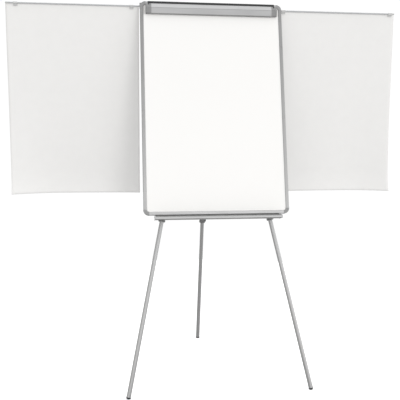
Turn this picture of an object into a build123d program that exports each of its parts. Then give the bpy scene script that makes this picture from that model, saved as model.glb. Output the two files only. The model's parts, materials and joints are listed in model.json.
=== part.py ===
from build123d import *
import os
from math import atan2, cos, degrees, hypot, radians, sin

# A tripod flipchart easel with a tilted dry-wipe board, a lift-up pad clamp, a pen tray,
# two pull-out side arms with clipped paper sheets, and three telescopic legs.
# Row frame: +Z up, +X to the right, -Y towards the reader, floor at Z = 0.
# Board frame: X across, Y backward from the frame's front face, Z up the board from its lower edge.
# Leg frame: origin on the leg's pivot, -Z down the leg, Y backward.

# Driving dimensions, in millimetres and degrees.
BOARD_WIDTH = 700
BOARD_HEIGHT = 1038
BOARD_TILT = 13
BOARD_BASE_HEIGHT = 824.4
BOARD_SHIFT = -256.7

# Board frame and panel.
RAIL_FACE = 17
RAIL_DEPTH = 20
RAIL_ROUND = 3
RAIL_WALL = 1.5
CHAMBER_FACE = 4
CHAMBER_FRONT = 3
CHAMBER_BACK = 17
SLOT_START = 7
PANEL_FRONT = 3
SURFACE_THICKNESS = 0.5
PANEL_BACK = 13.4
BACKING_THICKNESS = 0.6
CAP_RADIUS = 27
CAP_PROUD = 0.4
LUG_LENGTH = 18
LUG_PLAY = 0.2

# Pad clamp.
CLAMP_LENGTH = 646
CLAMP_CAP_LENGTH = 27
CLAMP_AXIS_Y = -6.2
CLAMP_AXIS_Z = 1018.7
CLAMP_BARREL = 5.8
CLAMP_BARREL_BORE = 3.6
CLAMP_RIDGE_Y = -17.5
CLAMP_RIDGE_Z = 1002
CLAMP_BOTTOM_Z = 974
CLAMP_LIP_Y = -3.2
CLAMP_WALL = 2.2
BASE_LENGTH = 624
BASE_BOTTOM_Z = 1025
BASE_FRONT_Y = -5
LUG_FROM_X = 306
LUG_TO_X = 310
HINGE_PIN_RADIUS = 2
HINGE_PIN_PLAY = 0.05
GRIP_HEIGHT = 7
GRIP_GAP = 0.4
SPRING_COIL = 3.2
SPRING_WIRE = 0.5
SPRING_PITCH = 1.2
SPRING_LENGTH = 6

# Pad hooks and the slotted strip that they slide in.
HOOK_RAIL_LENGTH = 600
HOOK_Z = 1004
HOOK_X = 230
PEG_RADIUS = 3.5
PEG_FROM_Y = -3
PEG_TO_Y = -12

# Pen tray.
TRAY_LENGTH = 600
TRAY_REACH = 60
TRAY_DROP = 23.5
TRAY_LIP = 11
TRAY_WALL = 1.5
TRAY_CAP = 3
TRAY_BEAD = 1.6
TRAY_FLANGE = 16

# Pull-out side arms, clips and paper sheets.
ARM_Z = 1023.7
ARM_RADIUS = 3.5
ARM_LENGTH = 700
ARM_LEFT_Y = 28.5
ARM_RIGHT_Y = 39.5
ARM_LEFT_TIP = 984
ARM_RIGHT_TIP = 957.5
ARM_CAP_LENGTH = 12
ARM_CAP_RADIUS = 3.8
ARM_CAP_WALL = 3
ARM_STOP_RADIUS = 5
ARM_STOP_LENGTH = 5.5
SLIDING_PLAY = 0.06
GUIDE_INNER_X = 290
GUIDE_HALF_HEIGHT = 7
CLIP_WIDTH = 19
CLIP_DROP = 14
CLIP_LEFT_OUTER = 937
CLIP_LEFT_INNER = 389
CLIP_RIGHT_OUTER = 935
CLIP_RIGHT_INNER = 372
SHEET_WIDTH = 631
SHEET_HEIGHT = 912
SHEET_THICKNESS = 0.8
SHEET_OFFSET = 4.2

# Legs.
PIVOT_X = 53
PIVOT_Z = 978
SPLAY = 11.8
LEG_PLANE = 38
REAR_PIVOT_Y = 50
REAR_FOOT_Y = 665
OUTER_RADIUS = 12.5
INNER_RADIUS = 10
TUBE_WALL = 1.2
FRONT_REACH = 1022
REAR_REACH = 1078
INNER_LENGTH = 978
PLUG_SHOULDER = 26
PLUG_STEM = 36
TONGUE_THICKNESS = 12
TONGUE_RADIUS = 11
PIVOT_RADIUS = 3
PIVOT_PLAY = 0.06
COLLAR_RADIUS = 16.5
COLLAR_UP = 30
COLLAR_DOWN = 6
LEVER_ZONE = 17
LEVER_HUB_Y = 17.5
LEVER_HUB_RADIUS = 4.2
LEVER_PLAY = 0.3
LEVER_SWEEP = 130
FOOT_RADIUS = 10.4
FOOT_VISIBLE = 8
FOOT_DOME = 13
FOOT_DOME_UP = 11
FOOT_STEM = 26

# Head bracket on the board's back.
HEAD_WIDTH = 200
HEAD_BOTTOM = 940
HEAD_TOP = 1012
HEAD_PLATE = 4
HEAD_BOSS_RADIUS = 9
EAR_GAP = 6.6
EAR_THICKNESS = 4
EAR_BACK_Y = 62

# Hooks that hold the front legs to the board, heights along the leg below its pivot.
HOOK_LOW = -970
HOOK_HIGH = -940
HOOK_TAB_X = 23
HOOK_WALL = 3.2
HOOK_PLAY = 0.3

# Fasteners.
SCREW_HEAD_RADIUS = 3.6
SCREW_HEAD_HEIGHT = 2
SCREW_RADIUS = 1.6
SCREW_LENGTH = 9

BOARD = Pos(0, BOARD_SHIFT, BOARD_BASE_HEIGHT) * Rot(-BOARD_TILT, 0, 0)


def board_point(x, y, z):
    """Row-frame position of a point given in the board frame."""
    tilt = radians(BOARD_TILT)
    return (
        x,
        BOARD_SHIFT + y * cos(tilt) + z * sin(tilt),
        BOARD_BASE_HEIGHT - y * sin(tilt) + z * cos(tilt),
    )


REAR_PIVOT = board_point(0, REAR_PIVOT_Y, PIVOT_Z)
REAR_FOOT = (0, BOARD_SHIFT + REAR_FOOT_Y, 0)
REAR_ANGLE = degrees(atan2(REAR_FOOT[1] - REAR_PIVOT[1], REAR_PIVOT[2]))
REAR_LENGTH = hypot(REAR_FOOT[1] - REAR_PIVOT[1], REAR_PIVOT[2])
FRONT_PIVOT = board_point(PIVOT_X, LEG_PLANE, PIVOT_Z)
FRONT_LENGTH = FRONT_PIVOT[2] / (cos(radians(BOARD_TILT)) * cos(radians(SPLAY)))

LEG_FRAMES = {
    "left": BOARD * Pos(-PIVOT_X, LEG_PLANE, PIVOT_Z) * Rot(0, SPLAY, 0),
    "right": BOARD * Pos(PIVOT_X, LEG_PLANE, PIVOT_Z) * Rot(0, -SPLAY, 0),
    "rear": Pos(*REAR_PIVOT) * Rot(REAR_ANGLE, 0, 0),
}
LEG_LENGTHS = {"left": FRONT_LENGTH, "right": FRONT_LENGTH, "rear": REAR_LENGTH}
LEG_REACHES = {"left": FRONT_REACH, "right": FRONT_REACH, "rear": REAR_REACH}


# ---- helpers ----

def write(name, shape):
    export_step(shape, f"parts/{name}.step")


def group(solids):
    return Compound(children=list(solids))


def outline(points):
    return make_face(Polyline(*points, close=True))


def rounded(face, corners, radius):
    """Rounds the corners of a flat outline that lie nearest to the given points."""
    picked = [min(face.vertices(), key=lambda v: hypot(v.X - a, v.Y - b)) for a, b in corners]
    return fillet(picked, radius)


def across(face, x_from, x_to):
    """Runs an outline, drawn as (Y, Z), along X."""
    return Pos(x_from, 0, 0) * extrude(Plane.YZ * face, x_to - x_from)


def block(x_from, x_to, y_from, y_to, z_from, z_to):
    middle = Pos((x_from + x_to) / 2, (y_from + y_to) / 2, (z_from + z_to) / 2)
    return middle * Box(x_to - x_from, y_to - y_from, z_to - z_from)


def rod_x(radius, x_from, x_to, y, z):
    return Pos((x_from + x_to) / 2, y, z) * Rot(0, 90, 0) * Cylinder(radius, x_to - x_from)


def rod_y(radius, y_from, y_to, x, z):
    return Pos(x, (y_from + y_to) / 2, z) * Rot(90, 0, 0) * Cylinder(radius, y_to - y_from)


def rod_z(radius, z_from, z_to, x=0, y=0):
    return Pos(x, y, (z_from + z_to) / 2) * Cylinder(radius, z_to - z_from)


def both_sides(solid):
    """A solid and its mirror image about the board's middle plane."""
    return [solid, mirror(solid, Plane.YZ)]


# ---- board frame and panel ----

def rail_section(proud=0, hollow=True):
    """Rail profile: X from the outer edge inward, Y backward from the front face."""
    wide = RAIL_FACE + 2 * proud
    deep = RAIL_DEPTH + proud
    body = Pos(RAIL_FACE / 2, (RAIL_DEPTH - proud) / 2) * RectangleRounded(wide, deep, RAIL_ROUND)
    slot_width = RAIL_FACE - SLOT_START + 2
    slot = Pos(SLOT_START + slot_width / 2, (PANEL_FRONT + PANEL_BACK) / 2)
    body -= slot * Rectangle(slot_width, PANEL_BACK - PANEL_FRONT)
    if hollow:
        chamber = Pos(RAIL_WALL + CHAMBER_FACE / 2, (CHAMBER_FRONT + CHAMBER_BACK) / 2)
        body -= chamber * Rectangle(CHAMBER_FACE, CHAMBER_BACK - CHAMBER_FRONT)
    return body


def side_rails():
    length = BOARD_HEIGHT - 2 * CAP_RADIUS
    left = Pos(-BOARD_WIDTH / 2, 0, CAP_RADIUS) * extrude(rail_section(), length)
    return left, mirror(left, Plane.YZ)


def cross_rails():
    length = BOARD_WIDTH - 2 * CAP_RADIUS
    bottom = Pos(length / 2, 0, 0) * Rot(0, -90, 0) * extrude(rail_section(), length)
    top = Pos(0, 0, BOARD_HEIGHT) * mirror(bottom, Plane.XY)
    return bottom, top


def corner_cap():
    """Elbow about its own centre, from the -X side round to the +Z side, with two lugs."""
    section = Pos(-CAP_RADIUS, 0) * rail_section(CAP_PROUD, hollow=False)
    elbow = revolve(section, Axis.Y, 90)
    near = CAP_RADIUS - RAIL_WALL - LUG_PLAY
    far = near - CHAMBER_FACE + 2 * LUG_PLAY
    front = CHAMBER_FRONT + LUG_PLAY
    back = CHAMBER_BACK - LUG_PLAY
    down_lug = block(-near, -far, front, back, -LUG_LENGTH, 0)
    side_lug = block(0, LUG_LENGTH, front, back, far, near)
    return elbow + down_lug + side_lug


def corner_caps():
    cap = corner_cap()
    x = BOARD_WIDTH / 2 - CAP_RADIUS
    low = CAP_RADIUS
    high = BOARD_HEIGHT - CAP_RADIUS
    centres = [(-x, high, 0), (x, high, 90), (x, low, 180), (-x, low, 270)]
    return [Pos(a, 0, b) * Rot(0, turn, 0) * cap for a, b, turn in centres]


def panel_layer(y_from, y_to):
    width = BOARD_WIDTH - 2 * SLOT_START
    height = BOARD_HEIGHT - 2 * SLOT_START
    face = RectangleRounded(width, height, CAP_RADIUS - SLOT_START)
    return Pos(0, y_to, BOARD_HEIGHT / 2) * Rot(90, 0, 0) * extrude(face, y_to - y_from)


def build_board():
    core_front = PANEL_FRONT + SURFACE_THICKNESS
    core_back = PANEL_BACK - BACKING_THICKNESS
    left, right = side_rails()
    bottom, top = cross_rails()
    write("writing_surface", BOARD * panel_layer(PANEL_FRONT, core_front))
    write("panel_core", BOARD * panel_layer(core_front, core_back))
    write("panel_backing", BOARD * panel_layer(core_back, PANEL_BACK))
    write("rail_left", BOARD * left)
    write("rail_right", BOARD * right)
    write("rail_bottom", BOARD * bottom)
    write("rail_top", BOARD * top)
    write("corner_caps", BOARD * group(corner_caps()))


# ---- pad clamp ----

def clamp_front_points():
    """The clamp's outer face, from the hinge barrel over the ridge line to the lower lip."""
    return [
        (CLAMP_AXIS_Y - CLAMP_BARREL, CLAMP_AXIS_Z),
        (CLAMP_RIDGE_Y, CLAMP_RIDGE_Z),
        (CLAMP_RIDGE_Y + 0.8, CLAMP_RIDGE_Z - 0.8),
        (CLAMP_RIDGE_Y + 0.3, CLAMP_RIDGE_Z - 1.6),
        (CLAMP_LIP_Y - 8.4, CLAMP_BOTTOM_Z + 1.5),
        (CLAMP_LIP_Y, CLAMP_BOTTOM_Z),
    ]


def clamp_inner_points():
    return [
        (CLAMP_LIP_Y, CLAMP_BOTTOM_Z + CLAMP_WALL + 0.2),
        (CLAMP_LIP_Y - 6.7, CLAMP_BOTTOM_Z + 3.6),
        (CLAMP_RIDGE_Y + CLAMP_WALL, CLAMP_RIDGE_Z - 1.1),
        (CLAMP_AXIS_Y - 3.6, CLAMP_AXIS_Z - 1.9),
    ]


def barrel(radius):
    return Pos(CLAMP_AXIS_Y, CLAMP_AXIS_Z) * Circle(radius)


def clamp_bar():
    half = CLAMP_LENGTH / 2 - CLAMP_CAP_LENGTH
    wall = outline(clamp_front_points() + clamp_inner_points())
    section = wall + barrel(CLAMP_BARREL) - barrel(CLAMP_BARREL_BORE)
    return across(section, -half, half)


def clamp_end_cap():
    """Right-hand cap: closed at its outer end, open to the back, with the pivot bore."""
    inner_x = CLAMP_LENGTH / 2 - CLAMP_CAP_LENGTH
    outer_x = CLAMP_LENGTH / 2
    end_wall = CLAMP_WALL
    boss_x = outer_x - 9
    back_top = (CLAMP_LIP_Y, CLAMP_AXIS_Z - 4)
    body = across(outline(clamp_front_points() + [back_top]) + barrel(CLAMP_BARREL), inner_x, outer_x)
    hollow = outline([
        (CLAMP_AXIS_Y - 4, CLAMP_AXIS_Z - 3.5),
        (CLAMP_RIDGE_Y + CLAMP_WALL + 0.4, CLAMP_RIDGE_Z - 1.2),
        (CLAMP_LIP_Y - 6.7, CLAMP_BOTTOM_Z + 4),
        (0, CLAMP_BOTTOM_Z + 4),
        (0, CLAMP_AXIS_Z - 3.5),
    ])
    body -= across(hollow, inner_x, outer_x - end_wall)
    body -= rod_x(CLAMP_BARREL - 0.8, inner_x - 1, boss_x, CLAMP_AXIS_Y, CLAMP_AXIS_Z)
    body -= rod_x(CLAMP_BARREL + 2.2, LUG_FROM_X - 1, LUG_TO_X + 1, CLAMP_AXIS_Y, CLAMP_AXIS_Z)
    bore = HINGE_PIN_RADIUS + HINGE_PIN_PLAY
    body -= rod_x(bore, boss_x - 1, outer_x - 1.2, CLAMP_AXIS_Y, CLAMP_AXIS_Z)
    return body


def clamp_grip():
    """Rubber strip along the lower lip that presses the pad on the board."""
    half = CLAMP_LENGTH / 2 - CLAMP_CAP_LENGTH
    low = CLAMP_BOTTOM_Z + CLAMP_WALL + 0.2
    tip = PANEL_FRONT - GRIP_GAP
    face = outline([
        (CLAMP_LIP_Y, low),
        (CLAMP_LIP_Y, low - CLAMP_WALL),
        (tip, low - CLAMP_WALL + 0.8),
        (tip, low + GRIP_HEIGHT - 3),
        (CLAMP_LIP_Y - 5, low + GRIP_HEIGHT - 4.6),
        (CLAMP_LIP_Y - 5, low + 0.96),
    ])
    return across(face, -half + 1, half - 1)


def clamp_base():
    """Black hinge strip on the top rail, with a lug near each end."""
    half = BASE_LENGTH / 2
    face = outline([
        (0, BASE_BOTTOM_Z),
        (0, BOARD_HEIGHT - 0.5),
        (BASE_FRONT_Y, BOARD_HEIGHT - 0.5),
        (BASE_FRONT_Y, BASE_BOTTOM_Z),
    ])
    face = rounded(face, [(BASE_FRONT_Y, BOARD_HEIGHT - 0.5)], 3)
    strip = across(face, -half, half)
    radius = CLAMP_BARREL - 1
    lug = rod_x(radius, LUG_FROM_X, LUG_TO_X, CLAMP_AXIS_Y, CLAMP_AXIS_Z)
    lug += block(LUG_FROM_X, LUG_TO_X, CLAMP_AXIS_Y - 2.6, -1.4, CLAMP_AXIS_Z, BASE_BOTTOM_Z + 1)
    lug -= rod_x(HINGE_PIN_RADIUS, LUG_FROM_X - 1, LUG_TO_X + 1, CLAMP_AXIS_Y, CLAMP_AXIS_Z)
    for solid in both_sides(lug):
        strip += solid
    return strip


def clamp_pins():
    end = CLAMP_LENGTH / 2 - 2
    start = LUG_FROM_X - SPRING_LENGTH - 2.5
    return both_sides(rod_x(HINGE_PIN_RADIUS, start, end, CLAMP_AXIS_Y, CLAMP_AXIS_Z))


def clamp_springs():
    path = Helix(SPRING_PITCH, SPRING_LENGTH, SPRING_COIL)
    section = Plane(path @ 0, z_dir=path % 0) * Circle(SPRING_WIRE)
    coil = sweep(section, path=path, is_frenet=True)
    start = LUG_FROM_X - SPRING_LENGTH - 1
    return both_sides(Pos(start, CLAMP_AXIS_Y, CLAMP_AXIS_Z) * Rot(0, 90, 0) * coil)


def hook_rail():
    """Strip with a T-shaped slot behind the clamp."""
    face = outline([
        (PANEL_FRONT, HOOK_Z - 8),
        (-1.2, HOOK_Z - 8),
        (-1.2, HOOK_Z - 3),
        (0, HOOK_Z - 3),
        (0, HOOK_Z - 5),
        (1.6, HOOK_Z - 5),
        (1.6, HOOK_Z + 5),
        (0, HOOK_Z + 5),
        (0, HOOK_Z + 3),
        (-1.2, HOOK_Z + 3),
        (-1.2, HOOK_Z + 8),
        (PANEL_FRONT, HOOK_Z + 8),
    ])
    return across(face, -HOOK_RAIL_LENGTH / 2, HOOK_RAIL_LENGTH / 2)


def pad_hook():
    """Slider held in the slot, with a round-tipped peg for the pad's punched holes."""
    foot = block(-8, 8, 0.3, 1.3, HOOK_Z - 4.6, HOOK_Z + 4.6)
    neck = block(-8, 8, -1.6, 0.4, HOOK_Z - 2.7, HOOK_Z + 2.7)
    plate = block(-8, 8, PEG_FROM_Y, -1.5, HOOK_Z - 6, HOOK_Z + 6)
    peg = rod_y(PEG_RADIUS, PEG_TO_Y, PEG_FROM_Y, 0, HOOK_Z)
    tip = peg.edges().filter_by(GeomType.CIRCLE).sort_by(Axis.Y)[0]
    return foot + neck + plate + fillet(tip, 0.8)


def build_clamp():
    right_cap = clamp_end_cap()
    write("clamp_bar", BOARD * clamp_bar())
    write("clamp_end_cap_right", BOARD * right_cap)
    write("clamp_end_cap_left", BOARD * mirror(right_cap, Plane.YZ))
    write("clamp_grip", BOARD * clamp_grip())
    write("clamp_base", BOARD * clamp_base())
    write("clamp_pivot_pins", BOARD * group(clamp_pins()))
    write("clamp_springs", BOARD * group(clamp_springs()))
    write("hook_rail", BOARD * hook_rail())
    write("pad_hook_left", BOARD * Pos(-HOOK_X, 0, 0) * pad_hook())
    write("pad_hook_right", BOARD * Pos(HOOK_X, 0, 0) * pad_hook())


# ---- pen tray ----

def tray():
    half = TRAY_LENGTH / 2 - TRAY_CAP
    floor = -TRAY_DROP
    face = outline([
        (0, 0),
        (TRAY_FLANGE, 0),
        (TRAY_FLANGE, -TRAY_WALL),
        (TRAY_WALL, -TRAY_WALL),
        (TRAY_WALL, floor),
        (-TRAY_REACH, floor),
        (-TRAY_REACH, floor + TRAY_LIP),
        (-TRAY_REACH + TRAY_WALL, floor + TRAY_LIP),
        (-TRAY_REACH + TRAY_WALL, floor + TRAY_WALL),
        (0, floor + TRAY_WALL),
    ])
    face = rounded(face, [(-TRAY_REACH, floor), (TRAY_WALL, floor)], 2.4)
    bead = Pos(-TRAY_REACH + TRAY_WALL / 2, floor + TRAY_LIP) * Circle(TRAY_BEAD)
    return across(face + bead, -half, half)


def tray_end_caps():
    floor = -TRAY_DROP - 0.8
    front = -TRAY_REACH - 1.2
    lip_top = -TRAY_DROP + TRAY_LIP + 2
    face = outline([
        (TRAY_WALL, -TRAY_WALL),
        (-12, -TRAY_WALL),
        (front, lip_top),
        (front, floor),
        (TRAY_WALL, floor),
    ])
    face = rounded(face, [(-12, -TRAY_WALL), (front, lip_top), (front, floor)], 3)
    return both_sides(across(face, TRAY_LENGTH / 2 - TRAY_CAP, TRAY_LENGTH / 2))


def tray_screws():
    screws = []
    for x in (-240, 0, 240):
        shank = rod_z(SCREW_RADIUS, -TRAY_WALL, 5, x, RAIL_DEPTH / 2)
        head = rod_z(SCREW_HEAD_RADIUS, -TRAY_WALL - SCREW_HEAD_HEIGHT, -TRAY_WALL, x, RAIL_DEPTH / 2)
        screws.append(shank + head)
    return screws


def build_tray():
    write("tray", BOARD * tray())
    write("tray_end_caps", BOARD * group(tray_end_caps()))
    write("tray_screws", BOARD * group(tray_screws()))


# ---- side arms, clips and sheets ----

def arm_guide():
    """Right-hand guide: a closed bore in front and an open-backed groove behind it."""
    outer = BOARD_WIDTH / 2
    back = ARM_RIGHT_Y + 2
    low = ARM_Z - GUIDE_HALF_HEIGHT
    high = ARM_Z + GUIDE_HALF_HEIGHT
    body = block(GUIDE_INNER_X, outer, RAIL_DEPTH, back, low, high)
    tab = block(GUIDE_INNER_X, outer, RAIL_DEPTH, RAIL_DEPTH + 4, high, BOARD_HEIGHT - 1)
    bore = ARM_RADIUS + SLIDING_PLAY
    for y in (ARM_LEFT_Y, ARM_RIGHT_Y):
        body -= rod_x(bore, GUIDE_INNER_X - 1, outer + 1, y, ARM_Z)
    return body + tab


def arm_rod(side, tip, y):
    """Steel rod with its stop ring; side is -1 for the left arm and 1 for the right."""
    inner = tip - ARM_LENGTH
    outer = tip - ARM_CAP_WALL
    rod = rod_x(ARM_RADIUS, inner, outer, y, ARM_Z)
    ring = rod_x(ARM_STOP_RADIUS, inner, inner + ARM_STOP_LENGTH, y, ARM_Z)
    arm = rod + ring
    return arm if side > 0 else mirror(arm, Plane.YZ)


def arm_cap(side, tip, y):
    """Plastic cap pushed over the rod's outer end."""
    cap = rod_x(ARM_CAP_RADIUS, tip - ARM_CAP_LENGTH, tip, y, ARM_Z)
    rim = cap.edges().filter_by(GeomType.CIRCLE).sort_by(Axis.X)[-1]
    cap = fillet(rim, 1.2)
    cap -= rod_x(ARM_RADIUS, tip - ARM_CAP_LENGTH - 1, tip - ARM_CAP_WALL, y, ARM_Z)
    return cap if side > 0 else mirror(cap, Plane.YZ)


def sheet_clip(x, rod_point):
    """Clip around the rod, hanging plumb, with a slot that grips the sheet's top edge."""
    half = CLIP_WIDTH / 2
    body = block(-half, half, -4.6, 7.4, -CLIP_DROP, 4.4)
    body = fillet(body.edges().filter_by(Axis.X).group_by(Axis.Z)[-1], 1.5)
    body -= block(-half - 1, half + 1, -5, -1.2, -CLIP_DROP - 1, -5.4)
    body -= rod_x(ARM_RADIUS + SLIDING_PLAY, -half - 1, half + 1, 0, 0)
    body -= block(-half - 1, half + 1, SHEET_OFFSET - 0.3, SHEET_OFFSET + SHEET_THICKNESS + 0.3,
                  -CLIP_DROP - 1, 1.6)
    return Pos(x, rod_point[1], rod_point[2]) * body


def paper_sheet(side, tip, rod_point):
    """Loose flipchart sheet hanging plumb just behind its rod."""
    front = rod_point[1] + SHEET_OFFSET
    top = rod_point[2] + 0.6
    sheet = block(tip - SHEET_WIDTH, tip, front, front + SHEET_THICKNESS, top - SHEET_HEIGHT, top)
    return sheet if side > 0 else mirror(sheet, Plane.YZ)


def build_arms():
    guide = arm_guide()
    write("arm_guide_right", BOARD * guide)
    write("arm_guide_left", BOARD * mirror(guide, Plane.YZ))
    sides = {
        "left": (-1, ARM_LEFT_TIP, ARM_LEFT_Y, CLIP_LEFT_OUTER, CLIP_LEFT_INNER),
        "right": (1, ARM_RIGHT_TIP, ARM_RIGHT_Y, CLIP_RIGHT_OUTER, CLIP_RIGHT_INNER),
    }
    for name, (side, tip, y, outer_clip, inner_clip) in sides.items():
        rod_point = board_point(0, y, ARM_Z)
        write(f"arm_rod_{name}", BOARD * arm_rod(side, tip, y))
        write(f"arm_tip_{name}", BOARD * arm_cap(side, tip, y))
        write(f"sheet_clip_{name}_outer", sheet_clip(side * outer_clip, rod_point))
        write(f"sheet_clip_{name}_inner", sheet_clip(side * inner_clip, rod_point))
        write(f"paper_sheet_{name}", paper_sheet(side, tip, rod_point))


# ---- legs, each in its own leg frame ----

def outer_tube(reach):
    body = rod_z(OUTER_RADIUS, -reach, -PLUG_SHOULDER)
    return body - rod_z(OUTER_RADIUS - TUBE_WALL, -reach - 1, -PLUG_SHOULDER + 1)


def tongue(across_x):
    """Eyed tongue of a leg's top plug; across_x says that its pivot runs along X."""
    half = TONGUE_THICKNESS / 2
    bore = PIVOT_RADIUS + PIVOT_PLAY
    if across_x:
        flat = block(-half, half, -9, 9, -PLUG_SHOULDER + 4, 0)
        eye = rod_x(9, -half, half, 0, 0)
        return flat + eye - rod_x(bore, -half - 1, half + 1, 0, 0)
    flat = block(-TONGUE_RADIUS, TONGUE_RADIUS, -half, half, -PLUG_SHOULDER + 4, 0)
    eye = rod_y(TONGUE_RADIUS, -half, half, 0, 0)
    return flat + eye - rod_y(bore, -half - 1, half + 1, 0, 0)


def top_plug(across_x):
    shoulder = rod_z(OUTER_RADIUS, -PLUG_SHOULDER, -PLUG_SHOULDER + 4)
    stem = rod_z(OUTER_RADIUS - TUBE_WALL, -PLUG_SHOULDER - PLUG_STEM, -PLUG_SHOULDER)
    return tongue(across_x) + shoulder + stem


def collar(reach, side):
    """Clamp collar around the outer tube's end, with bosses and a pin for its lever."""
    top = -reach + COLLAR_UP
    bottom = -reach - COLLAR_DOWN
    zone_low = (top + bottom) / 2 - LEVER_ZONE / 2
    zone_high = zone_low + LEVER_ZONE
    body = rod_z(COLLAR_RADIUS, bottom, top)
    rims = body.edges().filter_by(GeomType.CIRCLE)
    body = chamfer(rims, 1.5)
    boss = rod_z(5, bottom + 2, top - 2, 0, LEVER_HUB_Y)
    body += boss
    body -= rod_z(40, zone_low, zone_high) - rod_z(COLLAR_RADIUS - 1.5, zone_low, zone_high)
    body -= rod_z(LEVER_HUB_RADIUS + 0.4, zone_low, zone_high, 0, LEVER_HUB_Y)
    body -= rod_z(OUTER_RADIUS, -reach, top + 1)
    body -= rod_z(INNER_RADIUS + SLIDING_PLAY, bottom - 1, -reach + 1)
    pin = rod_z(1.5, bottom + 3, top - 3, 0, LEVER_HUB_Y)
    body -= pin
    parts = [body, pin]
    return parts if side > 0 else [mirror(solid, Plane.YZ) for solid in parts]


def lever(reach, side):
    """Lock lever that wraps round the collar from its hub at the back."""
    top = -reach + COLLAR_UP
    bottom = -reach - COLLAR_DOWN
    zone_low = (top + bottom) / 2 - LEVER_ZONE / 2 + LEVER_PLAY
    zone_high = zone_low + LEVER_ZONE - 2 * LEVER_PLAY
    inner = COLLAR_RADIUS - 1.5 + LEVER_PLAY
    outer = inner + 3
    mouth = 90 - LEVER_SWEEP
    ring = Circle(outer) - Circle(inner)
    wedge = outline([
        (0, 0),
        (0, 60),
        (60, 60),
        (60, 0),
        (60 * cos(radians(mouth)), 60 * sin(radians(mouth))),
    ])
    arc = Pos(0, 0, zone_low) * extrude(ring & wedge, zone_high - zone_low)
    hub = rod_z(LEVER_HUB_RADIUS, zone_low, zone_high, 0, LEVER_HUB_Y)
    tab_middle = (inner + outer) / 2 + 2
    tab = Rot(0, 0, mouth) * block(tab_middle - 3.4, tab_middle + 3.4, -0.5, 2.4, zone_low, zone_high)
    body = arc + hub + tab
    body -= rod_z(1.5 + SLIDING_PLAY, zone_low - 1, zone_high + 1, 0, LEVER_HUB_Y)
    return body if side > 0 else mirror(body, Plane.YZ)


def inner_tube(length):
    low = -length + FOOT_VISIBLE
    body = rod_z(INNER_RADIUS, low, low + INNER_LENGTH)
    return body - rod_z(INNER_RADIUS - TUBE_WALL, low - 1, low + INNER_LENGTH + 1)


def inner_glide(length):
    """Plastic slider in the top of the inner tube that runs inside the outer tube."""
    top = -length + FOOT_VISIBLE + INNER_LENGTH
    flange = rod_z(OUTER_RADIUS - TUBE_WALL - SLIDING_PLAY, top, top + 5)
    stem = rod_z(INNER_RADIUS - TUBE_WALL, top - 24, top)
    return flange + stem


def leg_foot(place, length):
    """Domed rubber tip plugged into the tube and cut flat where it meets the floor."""
    tip_top = -length + FOOT_VISIBLE
    centre = -length + FOOT_DOME_UP
    tip = rod_z(FOOT_RADIUS, -length - 5, tip_top)
    tip &= Pos(0, 0, centre) * Sphere(FOOT_DOME) + rod_z(FOOT_DOME, centre, centre + FOOT_DOME)
    stem = rod_z(INNER_RADIUS - TUBE_WALL, tip_top, tip_top + FOOT_STEM)
    below_floor = Pos(0, 0, -50) * Box(4000, 4000, 100)
    return place * (tip + stem) - below_floor


def build_leg(name):
    place = LEG_FRAMES[name]
    length = LEG_LENGTHS[name]
    reach = LEG_REACHES[name]
    side = -1 if name == "left" else 1
    write(f"outer_tube_{name}", place * outer_tube(reach))
    write(f"top_plug_{name}", place * top_plug(name == "rear"))
    write(f"collar_{name}", place * group(collar(reach, side)))
    write(f"lock_lever_{name}", place * lever(reach, side))
    write(f"inner_tube_{name}", place * inner_tube(length))
    write(f"inner_glide_{name}", place * inner_glide(length))
    write(f"foot_{name}", leg_foot(place, length))


# ---- hardware on the board's back ----

def head_bracket():
    """Moulded head: base plate, two bosses for the front legs and a fork for the rear leg."""
    half = HEAD_WIDTH / 2
    plate_back = PANEL_BACK + HEAD_PLATE
    boss_back = LEG_PLANE - TONGUE_THICKNESS / 2 - 0.3
    body = block(-half, half, PANEL_BACK, plate_back, HEAD_BOTTOM, HEAD_TOP)
    body = fillet(body.edges().filter_by(Axis.Y), 12)
    ear = block(EAR_GAP, EAR_GAP + EAR_THICKNESS, plate_back - 1, REAR_PIVOT_Y, PIVOT_Z - 16, PIVOT_Z + 16)
    ear += rod_x(12, EAR_GAP, EAR_GAP + EAR_THICKNESS, REAR_PIVOT_Y, PIVOT_Z)
    boss = rod_y(HEAD_BOSS_RADIUS, plate_back - 1, boss_back, PIVOT_X, PIVOT_Z)
    for solid in both_sides(ear) + both_sides(boss):
        body += solid
    body += block(-EAR_GAP - 1, EAR_GAP + 1, plate_back - 1, REAR_PIVOT_Y - 24, PIVOT_Z - 16, PIVOT_Z + 16)
    for x in (-PIVOT_X, PIVOT_X):
        body -= rod_y(PIVOT_RADIUS, PANEL_BACK - 1, boss_back + 1, x, PIVOT_Z)
    return body - rod_x(PIVOT_RADIUS, -20, 20, REAR_PIVOT_Y, PIVOT_Z)


def pivot_bolts():
    """Shoulder bolts on which the front legs swing."""
    head_front = LEG_PLANE + TONGUE_THICKNESS / 2 + 0.3
    bolt = rod_y(PIVOT_RADIUS, PANEL_BACK, head_front, PIVOT_X, PIVOT_Z)
    bolt += rod_y(6, head_front, head_front + 4, PIVOT_X, PIVOT_Z)
    return both_sides(bolt)


def rear_pin():
    edge = EAR_GAP + EAR_THICKNESS
    pin = rod_x(PIVOT_RADIUS, -edge, edge, REAR_PIVOT_Y, PIVOT_Z)
    for solid in both_sides(rod_x(5.5, edge, edge + 2.5, REAR_PIVOT_Y, PIVOT_Z)):
        pin += solid
    return pin


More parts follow.
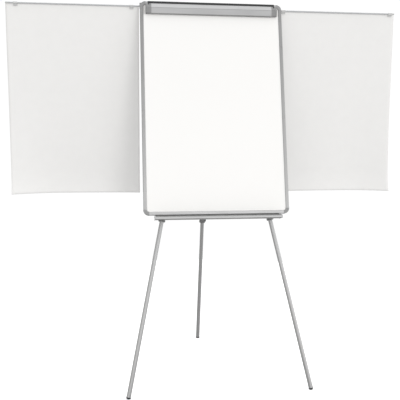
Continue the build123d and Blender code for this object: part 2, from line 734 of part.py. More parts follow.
def leg_hook():
    """Saddle, in the right leg's frame, that the tube swings into; open towards the middle."""
    gap = OUTER_RADIUS + HOOK_PLAY
    wall = HOOK_WALL
    panel = PANEL_BACK - LEG_PLANE
    base = block(-10, gap + wall, panel, -gap, HOOK_LOW, HOOK_HIGH)
    post = block(gap, gap + wall, -gap - 1, gap + wall, HOOK_LOW, HOOK_HIGH)
    back = block(-6, gap + wall, gap, gap + wall, HOOK_LOW, HOOK_HIGH)
    tab = block(gap, gap + wall + 14, panel, panel + 4, HOOK_LOW + 2, HOOK_HIGH - 2)
    return base + post + back + tab


def leg_hooks():
    right = Pos(PIVOT_X, LEG_PLANE, PIVOT_Z) * Rot(0, -SPLAY, 0) * leg_hook()
    return both_sides(right)


def wood_screw(x, z, seat_y):
    """Pan-head screw driven forward into the board, its head on the face at seat_y."""
    head = rod_y(SCREW_HEAD_RADIUS, seat_y, seat_y + SCREW_HEAD_HEIGHT, x, z)
    return head + rod_y(SCREW_RADIUS, seat_y - SCREW_LENGTH, seat_y, x, z)


def board_screws():
    screws = []
    head_seat = PANEL_BACK + HEAD_PLATE
    for x in (-86, 86):
        for z in (HEAD_BOTTOM + 14, HEAD_TOP - 14):
            screws.append(wood_screw(x, z, head_seat))
    for x in (GUIDE_INNER_X + 8, GUIDE_INNER_X + 24):
        screws += both_sides(wood_screw(x, ARM_Z + 10.8, RAIL_DEPTH + 4))
    splay = radians(SPLAY)
    middle = (HOOK_LOW + HOOK_HIGH) / 2
    hook_x = PIVOT_X + HOOK_TAB_X * cos(splay) - middle * sin(splay)
    hook_z = PIVOT_Z + middle * cos(splay) + HOOK_TAB_X * sin(splay)
    screws += both_sides(wood_screw(hook_x, hook_z, PANEL_BACK + 4))
    return screws


def build_hardware():
    write("head_bracket", BOARD * head_bracket())
    write("head_pivot_bolts", BOARD * group(pivot_bolts()))
    write("rear_pivot_pin", BOARD * rear_pin())
    write("leg_hooks", BOARD * group(leg_hooks()))
    write("board_screws", BOARD * group(board_screws()))


def main():
    os.makedirs("parts", exist_ok=True)
    build_board()
    build_clamp()
    build_tray()
    build_arms()
    for name in LEG_FRAMES:
        build_leg(name)
    build_hardware()


if __name__ == "__main__":
    main()
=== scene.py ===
import json
import math

import bmesh
import bpy
from mathutils import Matrix, Vector


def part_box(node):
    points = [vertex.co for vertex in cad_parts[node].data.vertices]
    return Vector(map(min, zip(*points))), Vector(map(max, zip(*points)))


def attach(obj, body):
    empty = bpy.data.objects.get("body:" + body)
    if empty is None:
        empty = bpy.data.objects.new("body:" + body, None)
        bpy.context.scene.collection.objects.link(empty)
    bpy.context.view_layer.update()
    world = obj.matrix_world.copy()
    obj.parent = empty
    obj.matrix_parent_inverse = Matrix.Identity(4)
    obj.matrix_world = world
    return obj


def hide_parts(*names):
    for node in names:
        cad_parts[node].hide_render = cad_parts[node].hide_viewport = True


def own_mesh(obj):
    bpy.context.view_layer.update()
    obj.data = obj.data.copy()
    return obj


# ---- the frame, and the few measures of the CAD that the looks need ----

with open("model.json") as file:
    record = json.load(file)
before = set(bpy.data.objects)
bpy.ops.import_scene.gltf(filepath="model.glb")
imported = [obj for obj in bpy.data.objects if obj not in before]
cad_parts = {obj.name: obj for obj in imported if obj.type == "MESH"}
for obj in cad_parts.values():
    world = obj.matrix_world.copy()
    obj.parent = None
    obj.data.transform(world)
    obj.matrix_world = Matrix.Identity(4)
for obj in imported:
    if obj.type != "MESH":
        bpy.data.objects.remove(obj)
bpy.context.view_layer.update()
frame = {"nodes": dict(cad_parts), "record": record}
nodes = frame["nodes"]

BOARD_TILT = math.radians(13)
FRONT_SPLAY = math.radians(11.8)
REAR_LEAN = math.radians(12.65)
LEGS = ("left", "right", "rear")

# Turns that bring a part's own direction onto an axis, for patterns that run along the part.
BOARD_TURN = (BOARD_TILT, 0, 0)
ROD_TURN = (0, math.radians(90), 0)
LEG_TURNS = {
    "left": (BOARD_TILT, -FRONT_SPLAY, 0),
    "right": (BOARD_TILT, FRONT_SPLAY, 0),
    "rear": (-REAR_LEAN, 0, 0),
}

# The middle of the board's lower front edge. The trough and the clamp are placed from it.
BOARD_EDGE = Vector((0, -0.2567, 0.8244))

# The pen trough, in coordinates turned with the board: the top of its floor and the back of its lip.
TRAY_FLOOR_DEPTH = 0.0220
TRAY_LIP_REACH = 0.0585
edge_turned = Matrix.Rotation(BOARD_TILT, 3, "X") @ BOARD_EDGE
TROUGH_FLOOR = edge_turned.z - TRAY_FLOOR_DEPTH
TROUGH_FRONT = edge_turned.y - TRAY_LIP_REACH

# The line along the clamp bar where its upper, brighter face ends and the painted shade on its lower face
# begins, up the board from its lower edge.
CLAMP_LINE_HEIGHT = 1.0012
CLAMP_LINE = edge_turned.z + CLAMP_LINE_HEIGHT

# ---- camera: at a standing person's chest height, a little left of the easel ----

CAMERA_POSITION = (-0.5236, -3.3410, 1.2737)
CAMERA_YAW = 0.14133
CAMERA_PITCH = -0.12129
CAMERA_ROLL = 0.0052535
CAMERA_LENS = 60.06
CAMERA_SENSOR = 36


def add_camera():
    data = bpy.data.cameras.new("camera")
    data.lens = CAMERA_LENS
    data.sensor_width = CAMERA_SENSOR
    camera = bpy.data.objects.new("camera", data)
    bpy.context.scene.collection.objects.link(camera)
    flat = math.cos(CAMERA_PITCH)
    ahead = Vector((math.sin(CAMERA_YAW) * flat, math.cos(CAMERA_YAW) * flat, math.sin(CAMERA_PITCH)))
    level = Vector((math.cos(CAMERA_YAW), -math.sin(CAMERA_YAW), 0))
    above = level.cross(ahead)
    right = level * math.cos(CAMERA_ROLL) + above * math.sin(CAMERA_ROLL)
    up = above * math.cos(CAMERA_ROLL) - level * math.sin(CAMERA_ROLL)
    turn = Matrix((right, up, -ahead)).transposed().to_4x4()
    camera.matrix_world = Matrix.Translation(CAMERA_POSITION) @ turn
    bpy.context.scene.camera = camera


add_camera()


# ---- material helpers ----

# Most of a noise's values lie between these two, and the bulk of them between the closer two.
MOST = (0.3, 0.7)
BULK = (0.35, 0.65)

# How wide the worn band is along an edge, by what the part is made of.
METAL_EDGE = 0.0006
MOULDED_EDGE = 0.0007
PLATED_EDGE = 0.0004
RUBBER_EDGE = 0.0009

# How alike the rounded and the true normal are where wear begins, and where it is full.
WEAR_BEGINS = 0.995
WEAR_FULL = 0.8
EDGE_SAMPLES = 4


class Shader:
    """A material under construction: its node tree, its Principled shader and short ways to wire them."""

    def __init__(self, name, metallic=0.0, **sockets):
        self.material = bpy.data.materials.new(name)
        self.material.use_nodes = True
        self.tree = self.material.node_tree
        self.tree.nodes.clear()
        self.output = self.node("ShaderNodeOutputMaterial")
        self.principled = self.node("ShaderNodeBsdfPrincipled")
        self.link(self.principled.outputs["BSDF"], self.output.inputs["Surface"])
        self.principled.inputs["Metallic"].default_value = metallic
        for socket, value in sockets.items():
            self.principled.inputs[socket.replace("_", " ")].default_value = value
        self.place = self.node("ShaderNodeTexCoord").outputs["Object"]

    def node(self, kind, **settings):
        made = self.tree.nodes.new(kind)
        for setting, value in settings.items():
            setattr(made, setting, value)
        return made

    def link(self, source, target):
        self.tree.links.new(source, target)

    def mapped(self, stretch=(1, 1, 1), turn=(0, 0, 0)):
        """The object's own coordinates, turned into a part's direction and then stretched."""
        turned = self.node("ShaderNodeMapping", vector_type="POINT")
        turned.inputs["Rotation"].default_value = turn
        self.link(self.place, turned.inputs["Vector"])
        stretched = self.node("ShaderNodeMapping", vector_type="POINT")
        stretched.inputs["Scale"].default_value = stretch
        self.link(turned.outputs["Vector"], stretched.inputs["Vector"])
        return stretched.outputs["Vector"]

    def noise(self, scale, detail=4, stretch=(1, 1, 1), turn=(0, 0, 0), roughness=0.55):
        made = self.node("ShaderNodeTexNoise")
        made.inputs["Scale"].default_value = scale
        made.inputs["Detail"].default_value = detail
        made.inputs["Roughness"].default_value = roughness
        self.link(self.mapped(stretch, turn), made.inputs["Vector"])
        return made.outputs["Fac"]

    def cells(self, scale):
        """Cells of random colour, as channels: each channel is a random number for each cell."""
        made = self.node("ShaderNodeTexVoronoi", feature="F1")
        made.inputs["Scale"].default_value = scale
        self.link(self.mapped(), made.inputs["Vector"])
        split = self.node("ShaderNodeSeparateColor")
        self.link(made.outputs["Color"], split.inputs["Color"])
        return split.outputs

    def board_place(self):
        """The place on the board as channels: X across it, Y square to it and Z up it."""
        split = self.node("ShaderNodeSeparateXYZ")
        self.link(self.mapped(turn=BOARD_TURN), split.inputs["Vector"])
        return split.outputs

    def spread(self, value, low_in, high_in, low_out, high_out):
        """Maps a value from one range to another, clamped."""
        made = self.node("ShaderNodeMapRange")
        for socket, number in (
            ("From Min", low_in), ("From Max", high_in), ("To Min", low_out), ("To Max", high_out),
        ):
            made.inputs[socket].default_value = number
        self.link(value, made.inputs["Value"])
        return made.outputs["Result"]

    def combine(self, operation, first, second):
        made = self.node("ShaderNodeMath", operation=operation)
        for socket, value in zip(made.inputs, (first, second)):
            if isinstance(value, (int, float)):
                socket.default_value = value
            else:
                self.link(value, socket)
        return made.outputs["Value"]

    def blend(self, share, first, second):
        """A colour between two, each given as RGB or as a socket."""
        made = self.node("ShaderNodeMix", data_type="RGBA")
        self.link(share, made.inputs["Factor"])
        for socket, value in (("A", first), ("B", second)):
            target = next(s for s in made.inputs if s.name == socket and s.type == "RGBA")
            if isinstance(value, tuple):
                target.default_value = (*value, 1)
            else:
                self.link(value, target)
        return next(s for s in made.outputs if s.type == "RGBA")

    def bump(self, height, distance, strength=1.0, under=None):
        made = self.node("ShaderNodeBump")
        made.inputs["Distance"].default_value = distance
        made.inputs["Strength"].default_value = strength
        self.link(height, made.inputs["Height"])
        if under is not None:
            self.link(under, made.inputs["Normal"])
        return made.outputs["Normal"]

    def edges(self, radius):
        """The normal with softened edges, and the wear: 0 on flat faces, 1 on edges that get rubbed."""
        rounded = self.node("ShaderNodeBevel", samples=EDGE_SAMPLES)
        rounded.inputs["Radius"].default_value = radius
        flat = self.node("ShaderNodeNewGeometry")
        likeness = self.node("ShaderNodeVectorMath", operation="DOT_PRODUCT")
        self.link(rounded.outputs["Normal"], likeness.inputs[0])
        self.link(flat.outputs["Normal"], likeness.inputs[1])
        worn = self.spread(likeness.outputs["Value"], WEAR_BEGINS, WEAR_FULL, 0, 1)
        return rounded.outputs["Normal"], worn

    def set(self, socket, value):
        self.link(value, self.principled.inputs[socket])


def shade(color, factor):
    """A colour made darker or paler by a factor."""
    return tuple(min(1.0, channel * factor) for channel in color)


# Drawn lines and broader streaks: how many per metre across them, and along them.
LINES_ACROSS = 900
LINES_ALONG = 6
STREAKS_ACROSS = 30
STREAKS_ALONG = 1.5

# Painted shade on the clamp's lower face: how much of its tone stays, how far it covers, and how soft its
# border is.
CLAMP_SHADE_SHARE = 0.7
CLAMP_SHADE_COVER = 0.9
CLAMP_SHADE_BORDER = 0.0004

# Painted shade in the trough: how much of the tone stays, its least and most cover, how much rougher it makes
# the trough, and how soft its border is.
TROUGH_SHADE_SHARE = 0.38
TROUGH_SHADE_COVER = (0.6, 0.85)
TROUGH_SHADE_ROUGHNESS = 0.35
TROUGH_SHADE_BORDER = 0.0006


def drawn(across, lengthwise, along):
    """A noise stretch that is fine across one axis and long along it."""
    stretch = [across, across, across]
    stretch["XYZ".index(along)] = lengthwise
    return stretch


def drawn_aluminium(made, color, along, turn=(0, 0, 0)):
    """Lines drawn along one axis, with faint streaks and cleaner edges. It gives the tone and the lines."""
    lines = made.noise(1, 3, drawn(LINES_ACROSS, LINES_ALONG, along), turn, 0.7)
    streaks = made.noise(1, 3, drawn(STREAKS_ACROSS, STREAKS_ALONG, along), turn)
    corner, worn = made.edges(METAL_EDGE)
    tone = made.blend(made.spread(streaks, *BULK, 0, 1), shade(color, 0.94), shade(color, 1.05))
    tone = made.blend(made.spread(lines, *MOST, 0, 0.35), tone, shade(color, 0.86))
    tone = made.blend(made.combine("MULTIPLY", worn, 0.5), tone, shade(color, 1.25))
    made.set("Normal", made.bump(lines, 0.00004, 0.6, corner))
    return tone, lines


def brushed_metal(name, color, along, turn=(0, 0, 0), rough=(0.28, 0.42), painted_shade_below=None):
    """Anodised aluminium. Below a height up the board it can have a darker, greyer face of painted shade."""
    made = Shader(name, metallic=1.0, Anisotropic=0.35)
    tone, lines = drawn_aluminium(made, color, along, turn)
    if painted_shade_below is not None:
        # Painted shade: below the line the tone is darkened, standing in for the shade on the clamp's lower
        # face.
        height = made.board_place()["Z"]
        painted_shade = made.spread(height, painted_shade_below - CLAMP_SHADE_BORDER, painted_shade_below, CLAMP_SHADE_COVER, 0)
        tone = made.blend(painted_shade, tone, shade(color, CLAMP_SHADE_SHARE))
    made.set("Base Color", tone)
    clouds = made.noise(9, 3)
    gloss = made.spread(lines, *MOST, *rough)
    made.set("Roughness", made.combine("ADD", gloss, made.spread(clouds, 0.4, 0.7, 0, 0.07)))
    return made.material


def tray_metal(name, color):
    """The pen tray's aluminium. Its trough is darkened in patches with painted shade, out to the front lip.
    """
    made = Shader(name, metallic=1.0, Anisotropic=0.35)
    tone, lines = drawn_aluminium(made, color, "X")
    # Painted shade: the trough above its floor and behind its lip is darkened in patches, standing in for the
    # shade inside it.
    shade_patches = made.noise(55, 5)
    place = made.board_place()
    above_floor = made.spread(place["Z"], TROUGH_FLOOR - 2 * TROUGH_SHADE_BORDER, TROUGH_FLOOR - TROUGH_SHADE_BORDER, 0, 1)
    behind_lip = made.spread(place["Y"], TROUGH_FRONT - TROUGH_SHADE_BORDER, TROUGH_FRONT, 0, 1)
    inside = made.combine("MULTIPLY", above_floor, behind_lip)
    painted_trough_shade = made.combine("MULTIPLY", inside, made.spread(shade_patches, 0.25, 0.6, *TROUGH_SHADE_COVER))
    made.set("Base Color", made.blend(painted_trough_shade, tone, shade(color, TROUGH_SHADE_SHARE)))
    gloss = made.spread(lines, *MOST, 0.3, 0.44)
    made.set("Roughness", made.combine("ADD", gloss, made.combine("MULTIPLY", painted_trough_shade, TROUGH_SHADE_ROUGHNESS)))
    return made.material


def moulded_plastic(name, color, rough=0.5):
    """Injection-moulded plastic: a fine eroded texture, faint flow clouds and rubbed, paler edges."""
    made = Shader(name, Coat_Weight=0.06, Coat_Roughness=0.4)
    grain = made.noise(2600, 2)
    clouds = made.noise(14, 4)
    dust = made.noise(160, 5)
    corner, worn = made.edges(MOULDED_EDGE)
    tone = made.blend(made.spread(clouds, *BULK, 0, 1), shade(color, 0.9), shade(color, 1.08))
    tone = made.blend(made.spread(dust, 0.58, 0.75, 0, 0.22), tone, shade(color, 1.3))
    tone = made.blend(made.combine("MULTIPLY", worn, 0.35), tone, shade(color, 1.5))
    made.set("Base Color", tone)
    gloss = made.spread(grain, *MOST, rough - 0.06, rough + 0.08)
    made.set("Roughness", made.combine("SUBTRACT", gloss, made.combine("MULTIPLY", worn, 0.1)))
    made.set("Normal", made.bump(grain, 0.00006, 0.7, corner))
    return made.material


def silver_paint(name, color, turn=(0, 0, 0), scuffs=0.5, metallic=0.55):
    """Silver-grey powder coat on steel tube: metal flakes, orange peel, and scuffs along the tube."""
    made = Shader(name, metallic=metallic, Coat_Weight=0.25, Coat_Roughness=0.22)
    flakes = made.cells(2400)
    peel = made.noise(420, 3)
    scrape = made.noise(1, 4, (300, 300, 9), turn, 0.7)
    clouds = made.noise(7, 3)
    corner, worn = made.edges(MOULDED_EDGE)
    tone = made.blend(flakes["Red"], shade(color, 0.88), shade(color, 1.1))
    tone = made.blend(made.spread(clouds, *BULK, 0, 0.3), tone, shade(color, 0.9))
    mark = made.spread(scrape, 0.63, 0.74, 0, scuffs)
    tone = made.blend(mark, tone, shade(color, 0.72))
    tone = made.blend(made.combine("MULTIPLY", worn, 0.4), tone, shade(color, 1.25))
    made.set("Base Color", tone)
    gloss = made.spread(peel, *MOST, 0.3, 0.4)
    made.set("Roughness", made.combine("ADD", gloss, made.combine("MULTIPLY", mark, 0.25)))
    peel_bump = made.bump(peel, 0.00008, 0.5, corner)
    made.set("Normal", made.bump(scrape, 0.00003, 0.4, peel_bump))
    return made.material


def plated_steel(name, color):
    """Zinc-plated small parts: a patchy bright plating over turned steel."""
    made = Shader(name, metallic=1.0)
    patches = made.cells(700)
    turning = made.noise(1, 2, (2400, 2400, 2400))
    corner, worn = made.edges(PLATED_EDGE)
    tone = made.blend(patches["Red"], shade(color, 0.85), shade(color, 1.1))
    made.set("Base Color", made.blend(made.combine("MULTIPLY", worn, 0.5), tone, shade(color, 1.3)))
    made.set("Roughness", made.spread(turning, *MOST, 0.22, 0.38))
    made.set("Normal", made.bump(turning, 0.00003, 0.5, corner))
    return made.material


def rubber(name, color):
    """Matt moulded rubber with a chalky bloom and scuffed rims."""
    made = Shader(name, Sheen_Weight=0.08, Sheen_Roughness=0.6)
    grain = made.noise(1900, 3)
    bloom = made.noise(60, 5)
    corner, worn = made.edges(RUBBER_EDGE)
    tone = made.blend(made.spread(bloom, 0.45, 0.72, 0, 0.6), color, shade(color, 2.0))
    tone = made.blend(made.combine("MULTIPLY", worn, 0.5), tone, shade(color, 2.6))
    made.set("Base Color", tone)
    made.set("Roughness", made.spread(bloom, 0.35, 0.7, 0.68, 0.88))
    made.set("Normal", made.bump(grain, 0.00012, 0.8, corner))
    return made.material


def white_lacquer(name, color):
    """Dry-wipe lacquer: glossy under a faint orange peel, with the ghost of wiped-off marks."""
    made = Shader(name, Coat_Weight=0.3, Coat_Roughness=0.1)
    peel = made.noise(140, 3)
    wipes = made.noise(1, 5, (5, 9, 2.2), (BOARD_TILT, 0.5, 0), 0.65)
    smudge = made.noise(3.2, 5)
    dust = made.noise(900, 2)
    wiped = made.spread(wipes, 0.5, 0.72, 0, 1)
    smudged = made.spread(smudge, 0.4, 0.62, 0, 1)
    ghost = made.combine("MULTIPLY", wiped, smudged)
    tone = made.blend(made.combine("MULTIPLY", ghost, 0.5), color, shade(color, 0.985))
    tone = made.blend(made.spread(dust, 0.66, 0.76, 0, 0.05), tone, shade(color, 0.9))
    made.set("Base Color", tone)
    gloss = made.spread(smudge, 0.35, 0.7, 0.3, 0.36)
    made.set("Roughness", made.combine("ADD", gloss, made.combine("MULTIPLY", ghost, 0.05)))
    made.set("Normal", made.bump(peel, 0.00005, 0.3))
    return made.material


def galvanised(name, color):
    """Thin galvanised backing sheet with its spangle and handling marks."""
    made = Shader(name, metallic=0.85)
    spangle = made.cells(70)
    rolling = made.noise(1, 3, (500, 500, 4), BOARD_TURN, 0.7)
    marks = made.noise(6, 5)
    tone = made.blend(spangle["Red"], shade(color, 0.93), shade(color, 1.04))
    tone = made.blend(made.spread(marks, 0.5, 0.75, 0, 0.4), tone, shade(color, 0.85))
    made.set("Base Color", tone)
    gloss = made.spread(spangle["Green"], 0, 1, 0.38, 0.52)
    made.set("Roughness", made.combine("ADD", gloss, made.spread(rolling, 0.4, 0.7, 0, 0.06)))
    made.set("Normal", made.bump(rolling, 0.00002, 0.4))
    return made.material


def fibreboard(name, color):
    """Pressed fibre core, seen only at its edges."""
    made = Shader(name)
    fibres = made.noise(1, 5, (700, 90, 700), (0, 0, 0), 0.7)
    specks = made.noise(380, 4)
    tone = made.blend(made.spread(fibres, *MOST, 0, 1), shade(color, 0.75), shade(color, 1.15))
    tone = made.blend(made.spread(specks, 0.6, 0.75, 0, 0.6), tone, shade(color, 0.5))
    made.set("Base Color", tone)
    made.set("Roughness", made.spread(specks, *MOST, 0.75, 0.92))
    made.set("Normal", made.bump(fibres, 0.0002, 0.6))
    return made.material


# Painted light: the paper glows a little, standing in for light that passes through the sheet.
PAPER_PAINTED_LIGHT = 0.27
PAPER_PAINTED_LIGHT_COLOR = (1, 0.99, 0.975, 1)


def paper(name, color):
    """Uncoated flipchart paper: fibres, a slightly cloudy sheet, soft cockling, and a glow of painted light
    that stands in for light let through.
    """
    made = Shader(
        name, Specular_IOR_Level=0.3, Emission_Strength=PAPER_PAINTED_LIGHT, Emission_Color=PAPER_PAINTED_LIGHT_COLOR)
    fibres = made.noise(1, 4, (1500, 1500, 420), (0, 0.3, 0), 0.7)
    cross = made.noise(1, 4, (420, 1500, 1500), (0, 0.3, 0), 0.7)
    felt = made.combine("ADD", fibres, cross)
    clouds = made.noise(26, 5)
    cockle = made.noise(1, 2, (7, 7, 2.4))
    tone = made.blend(made.spread(clouds, *MOST, 0, 1), shade(color, 0.985), shade(color, 1.012))
    tone = made.blend(made.spread(felt, 1.15, 1.45, 0, 0.22), tone, shade(color, 0.94))
    made.set("Base Color", tone)
    made.set("Roughness", made.spread(clouds, *MOST, 0.82, 0.93))
    felt_bump = made.bump(felt, 0.00005, 0.5)
    made.set("Normal", made.bump(cockle, 0.004, 0.35, felt_bump))
    return made.material


# ---- materials by the record's slots ----

LEG_SILVER = (0.47, 0.47, 0.47)
materials = {
    "board_white": white_lacquer("board_white", (0.87, 0.863, 0.848)),
    "board_core": fibreboard("board_core", (0.42, 0.31, 0.2)),
    "board_back": galvanised("board_back", (0.52, 0.53, 0.53)),
    "frame_aluminium": brushed_metal("frame_aluminium", (0.43, 0.43, 0.43), "Z", BOARD_TURN, (0.24, 0.34)),
    # The rails across the board: the same aluminium as the side rails, made paler as painted light for the
    # brighter reflection they catch.
    "frame_aluminium_across_painted_light": brushed_metal(
        "frame_aluminium_across_painted_light", (0.56, 0.56, 0.56), "X", rough=(0.3, 0.42)),
    "corner_plastic": moulded_plastic("corner_plastic", (0.29, 0.29, 0.29), 0.36),
    # The clamp bar: below CLAMP_LINE its face is darkened with painted shade.
    "clamp_aluminium": brushed_metal(
        "clamp_aluminium", (0.53, 0.532, 0.535), "X", painted_shade_below=CLAMP_LINE),
    "clamp_plastic": moulded_plastic("clamp_plastic", (0.25, 0.25, 0.25), 0.42),
    "tray_aluminium": tray_metal("tray_aluminium", (0.5, 0.5, 0.5)),
    "tray_plastic": moulded_plastic("tray_plastic", (0.52, 0.525, 0.53), 0.45),
    "black_plastic": moulded_plastic("black_plastic", (0.02, 0.02, 0.021), 0.5),
    "dark_plastic": moulded_plastic("dark_plastic", (0.22, 0.22, 0.22), 0.38),
    "clip_plastic": moulded_plastic("clip_plastic", (0.58, 0.58, 0.575), 0.45),
    "black_rubber": rubber("black_rubber", (0.03, 0.03, 0.031)),
    "plated_steel": plated_steel("plated_steel", (0.6, 0.6, 0.58)),
    "arm_steel": silver_paint("arm_steel", (0.55, 0.56, 0.57), ROD_TURN, 0.35, 0.7),
    "paper": paper("paper", (0.55, 0.546, 0.538)),
}
for leg in LEGS:
    materials[f"leg_tube_{leg}"] = silver_paint(f"leg_tube_{leg}", LEG_SILVER, LEG_TURNS[leg])
    materials[f"inner_tube_{leg}"] = silver_paint(f"inner_tube_{leg}", LEG_SILVER, LEG_TURNS[leg], 0.9)

slots = {part["node"]: part["material_slot"] for part in frame["record"]["subparts"]}
for name, obj in nodes.items():
    key = slots[name]
    if name in ("rail_top", "rail_bottom"):
        key = "frame_aluminium_across_painted_light"
    if name.startswith("outer_tube"):
        key = "leg_tube_" + name.rsplit("_", 1)[1]
    if name.startswith("inner_tube"):
        key = name
    obj.data.materials.clear()
    obj.data.materials.append(materials[key])


# ---- paper sheets: thin, hanging from two clips, a little bowed and curled ----

def link_mesh(name, mesh):
    obj = bpy.data.objects.new(name, mesh)
    bpy.context.scene.collection.objects.link(obj)
    return obj


SHEET_THICKNESS = 0.0003
SHEET_COLUMNS = 64
SHEET_ROWS = 92

# How a sheet hangs: each depth is in metres, and each start is a share of the width or the height.
BOW_DEPTH = 0.016
BOW_GROWTH = 1.6
CURL_DEPTH = 0.030
CURL_START_OUT = 0.62
CURL_START_DOWN = 0.45
ROLL_DEPTH = 0.012
ROLL_START = 0.88
SWAY_DEPTH = 0.0035
SWAY_HALF_WAVES = 3
SWAY_SHIFT = 0.6
LEAN_DEPTH = 0.010
LEAN_GROWTH = 1.5
FOOT_LIFT = 0.002


def grown(depth, share, start):
    """A depth that is nothing up to a start, then rises as a square and is full at the far edge."""
    return depth * max(0, share - start) ** 2 / (1 - start) ** 2


def set_back(out, down):
    """How far a point hangs behind its clips, by its share of the way out and down.

    The middle bows back, the outer lower corner and the foot curl forward, and a shallow wave runs across.
    """
    bow = BOW_DEPTH * down ** BOW_GROWTH * math.sin(math.pi * out)
    curl = grown(grown(CURL_DEPTH, out, CURL_START_OUT), down, CURL_START_DOWN)
    roll = grown(ROLL_DEPTH, down, ROLL_START)
    sway = SWAY_DEPTH * math.sin(SWAY_HALF_WAVES * math.pi * out + SWAY_SHIFT) * down
    return bow - curl - roll + sway


def hanging_sheet(name, node, body, outer_x):
    """A sheet cut to the CAD sheet's size. It hangs from its clips and bows towards its foot."""
    low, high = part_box(node)
    width = high.x - low.x
    height = high.z - low.z
    middle_y = (low.y + high.y) / 2
    outward = 1 if outer_x > 0 else -1
    inner_x = outer_x - outward * width
    mesh = bpy.data.meshes.new(name)
    shaped = bmesh.new()
    grid = []
    for row in range(SHEET_ROWS + 1):
        down = row / SHEET_ROWS
        line = []
        for column in range(SHEET_COLUMNS + 1):
            out = column / SHEET_COLUMNS
            lean = outward * LEAN_DEPTH * down ** LEAN_GROWTH * out
            x = inner_x + outward * width * out - lean
            z = high.z - height * down + FOOT_LIFT * math.sin(math.pi * out) * down
            line.append(shaped.verts.new((x, middle_y + set_back(out, down), z)))
        grid.append(line)
    for row in range(SHEET_ROWS):
        for column in range(SHEET_COLUMNS):
            face = shaped.faces.new((
                grid[row][column], grid[row][column + 1], grid[row + 1][column + 1], grid[row + 1][column],
            ))
            face.smooth = True
    bmesh.ops.recalc_face_normals(shaped, faces=shaped.faces)
    bmesh.ops.solidify(shaped, geom=shaped.faces[:], thickness=SHEET_THICKNESS)
    shaped.to_mesh(mesh)
    shaped.free()
    mesh.materials.append(materials["paper"])
    sheet = link_mesh(name, mesh)
    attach(sheet, body)
    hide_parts(node)
    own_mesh(sheet)


# The sheets gather when their arms are pushed in. The squash also narrows the right one by 27 mm when its arm
# is pulled fully out, so there it nearly leaves its inner clip.
hanging_sheet("hung_sheet_left", "paper_sheet_left", "arm_left", -0.984)
hanging_sheet("hung_sheet_right", "paper_sheet_right", "arm_right", 0.9575)


# ---- floor, light and backdrop ----

FLOOR_RADIUS = 2.6
FLOOR_SEGMENTS = 96
FLOOR_GLOW = 0.42
FLOOR_PALE = (0.82, 0.82, 0.82)
FLOOR_PALER = (0.85, 0.85, 0.85)
FLOOR_UNSEEN = (0.42, 0.42, 0.42, 1)

KEY_STRENGTH = 0.62
KEY_TOWARDS = (0.42, -0.72, 0.50)
KEY_WIDTH = math.radians(24)

WHITE = (1, 1, 1, 1)
BACKDROP_STRENGTH = 1.02

# The world's level by side: it rises from the left one to the right one between these two directions,
# where -1 is the far left and 1 the far right.
LEFT_LEVEL = 0.4
RIGHT_LEVEL = 1.15
SIDE_START = -1.0
SIDE_END = -0.45

# The world's level by height: from straight down (-1) over the horizon (0) to straight up (1).
WORLD_BANDS = (
    (-0.9, 0.5),
    (-0.3, 0.6),
    (-0.14, 1.2),
    (0.33, 1.3),
    (0.5, 0.55),
    (0.66, 0.5),
    (0.84, 1.15),
    (1.0, 1.2),
)


def add_floor():
    """A round pale floor under the easel. It glows a little, so that it ends without a line.

    Only the camera sees it pale: what it throws back onto the easel is dimmer.
    """
    mesh = bpy.data.meshes.new("floor")
    disc = bmesh.new()
    bmesh.ops.create_circle(disc, cap_ends=True, radius=FLOOR_RADIUS, segments=FLOOR_SEGMENTS)
    disc.to_mesh(mesh)
    disc.free()
    made = Shader("floor", Roughness=0.9, Emission_Strength=FLOOR_GLOW, Emission_Color=WHITE)
    mottle = made.noise(2.5, 4)
    made.set("Base Color", made.blend(mottle, FLOOR_PALE, FLOOR_PALER))
    dim = made.node("ShaderNodeBsdfDiffuse")
    dim.inputs["Color"].default_value = FLOOR_UNSEEN
    seen = made.node("ShaderNodeLightPath")
    choose = made.node("ShaderNodeMixShader")
    made.link(seen.outputs["Is Camera Ray"], choose.inputs["Fac"])
    made.link(dim.outputs["BSDF"], choose.inputs[1])
    made.link(made.principled.outputs["BSDF"], choose.inputs[2])
    made.link(choose.outputs["Shader"], made.output.inputs["Surface"])
    mesh.materials.append(made.material)
    link_mesh("floor", mesh)


def add_light():
    """One soft sun from the front right. Glossy faces don't mirror it."""
    sun = bpy.data.lights.new("key", "SUN")
    sun.energy = KEY_STRENGTH
    sun.angle = KEY_WIDTH
    key = bpy.data.objects.new("key", sun)
    key.visible_glossy = False
    bpy.context.scene.collection.objects.link(key)
    key.rotation_euler = Vector(KEY_TOWARDS).to_track_quat("Z", "Y").to_euler()


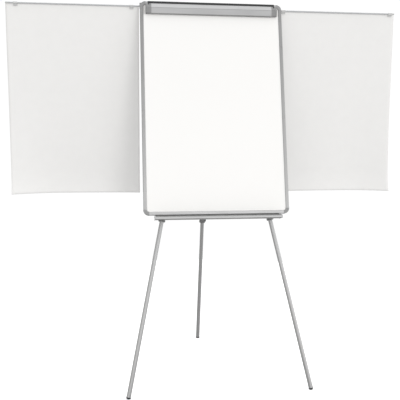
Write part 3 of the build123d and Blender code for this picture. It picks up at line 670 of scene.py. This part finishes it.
def add_world():
    """Pale studio: a bright horizon, a dimmer band above it, a broad overhead light, dim at the left.

    The camera sees it plain white. It lights the easel in bands.
    """
    world = bpy.data.worlds.new("studio")
    bpy.context.scene.world = world
    world.use_nodes = True
    tree = world.node_tree
    tree.nodes.clear()

    def node(kind):
        return tree.nodes.new(kind)

    output = node("ShaderNodeOutputWorld")
    lit = node("ShaderNodeBackground")
    plain = node("ShaderNodeBackground")
    seen = node("ShaderNodeLightPath")
    choose = node("ShaderNodeMixShader")
    way = node("ShaderNodeTexCoord")
    split = node("ShaderNodeSeparateXYZ")
    side = node("ShaderNodeMapRange")
    height = node("ShaderNodeMapRange")
    bands = node("ShaderNodeValToRGB")
    level = node("ShaderNodeMath")
    level.operation = "MULTIPLY"
    height.inputs["From Min"].default_value = -1
    for socket, value in (
        ("From Min", SIDE_START), ("From Max", SIDE_END), ("To Min", LEFT_LEVEL), ("To Max", RIGHT_LEVEL),
    ):
        side.inputs[socket].default_value = value
    ramp = bands.color_ramp
    while len(ramp.elements) < len(WORLD_BANDS):
        ramp.elements.new(0.5)
    for element, (rise, bright) in zip(ramp.elements, WORLD_BANDS):
        element.position = (rise + 1) / 2
        element.color = (bright, bright, bright, 1)
    plain.inputs["Color"].default_value = WHITE
    plain.inputs["Strength"].default_value = BACKDROP_STRENGTH
    lit.inputs["Color"].default_value = WHITE
    tree.links.new(way.outputs["Generated"], split.inputs["Vector"])
    tree.links.new(split.outputs["X"], side.inputs["Value"])
    tree.links.new(split.outputs["Z"], height.inputs["Value"])
    tree.links.new(height.outputs["Result"], bands.inputs["Fac"])
    tree.links.new(side.outputs["Result"], level.inputs[0])
    tree.links.new(bands.outputs["Color"], level.inputs[1])
    tree.links.new(level.outputs["Value"], lit.inputs["Strength"])
    tree.links.new(seen.outputs["Is Camera Ray"], choose.inputs["Fac"])
    tree.links.new(lit.outputs["Background"], choose.inputs[1])
    tree.links.new(plain.outputs["Background"], choose.inputs[2])
    tree.links.new(choose.outputs["Shader"], output.inputs["Surface"])


add_floor()
add_light()
add_world()
bpy.context.scene.view_settings.view_transform = "Standard"
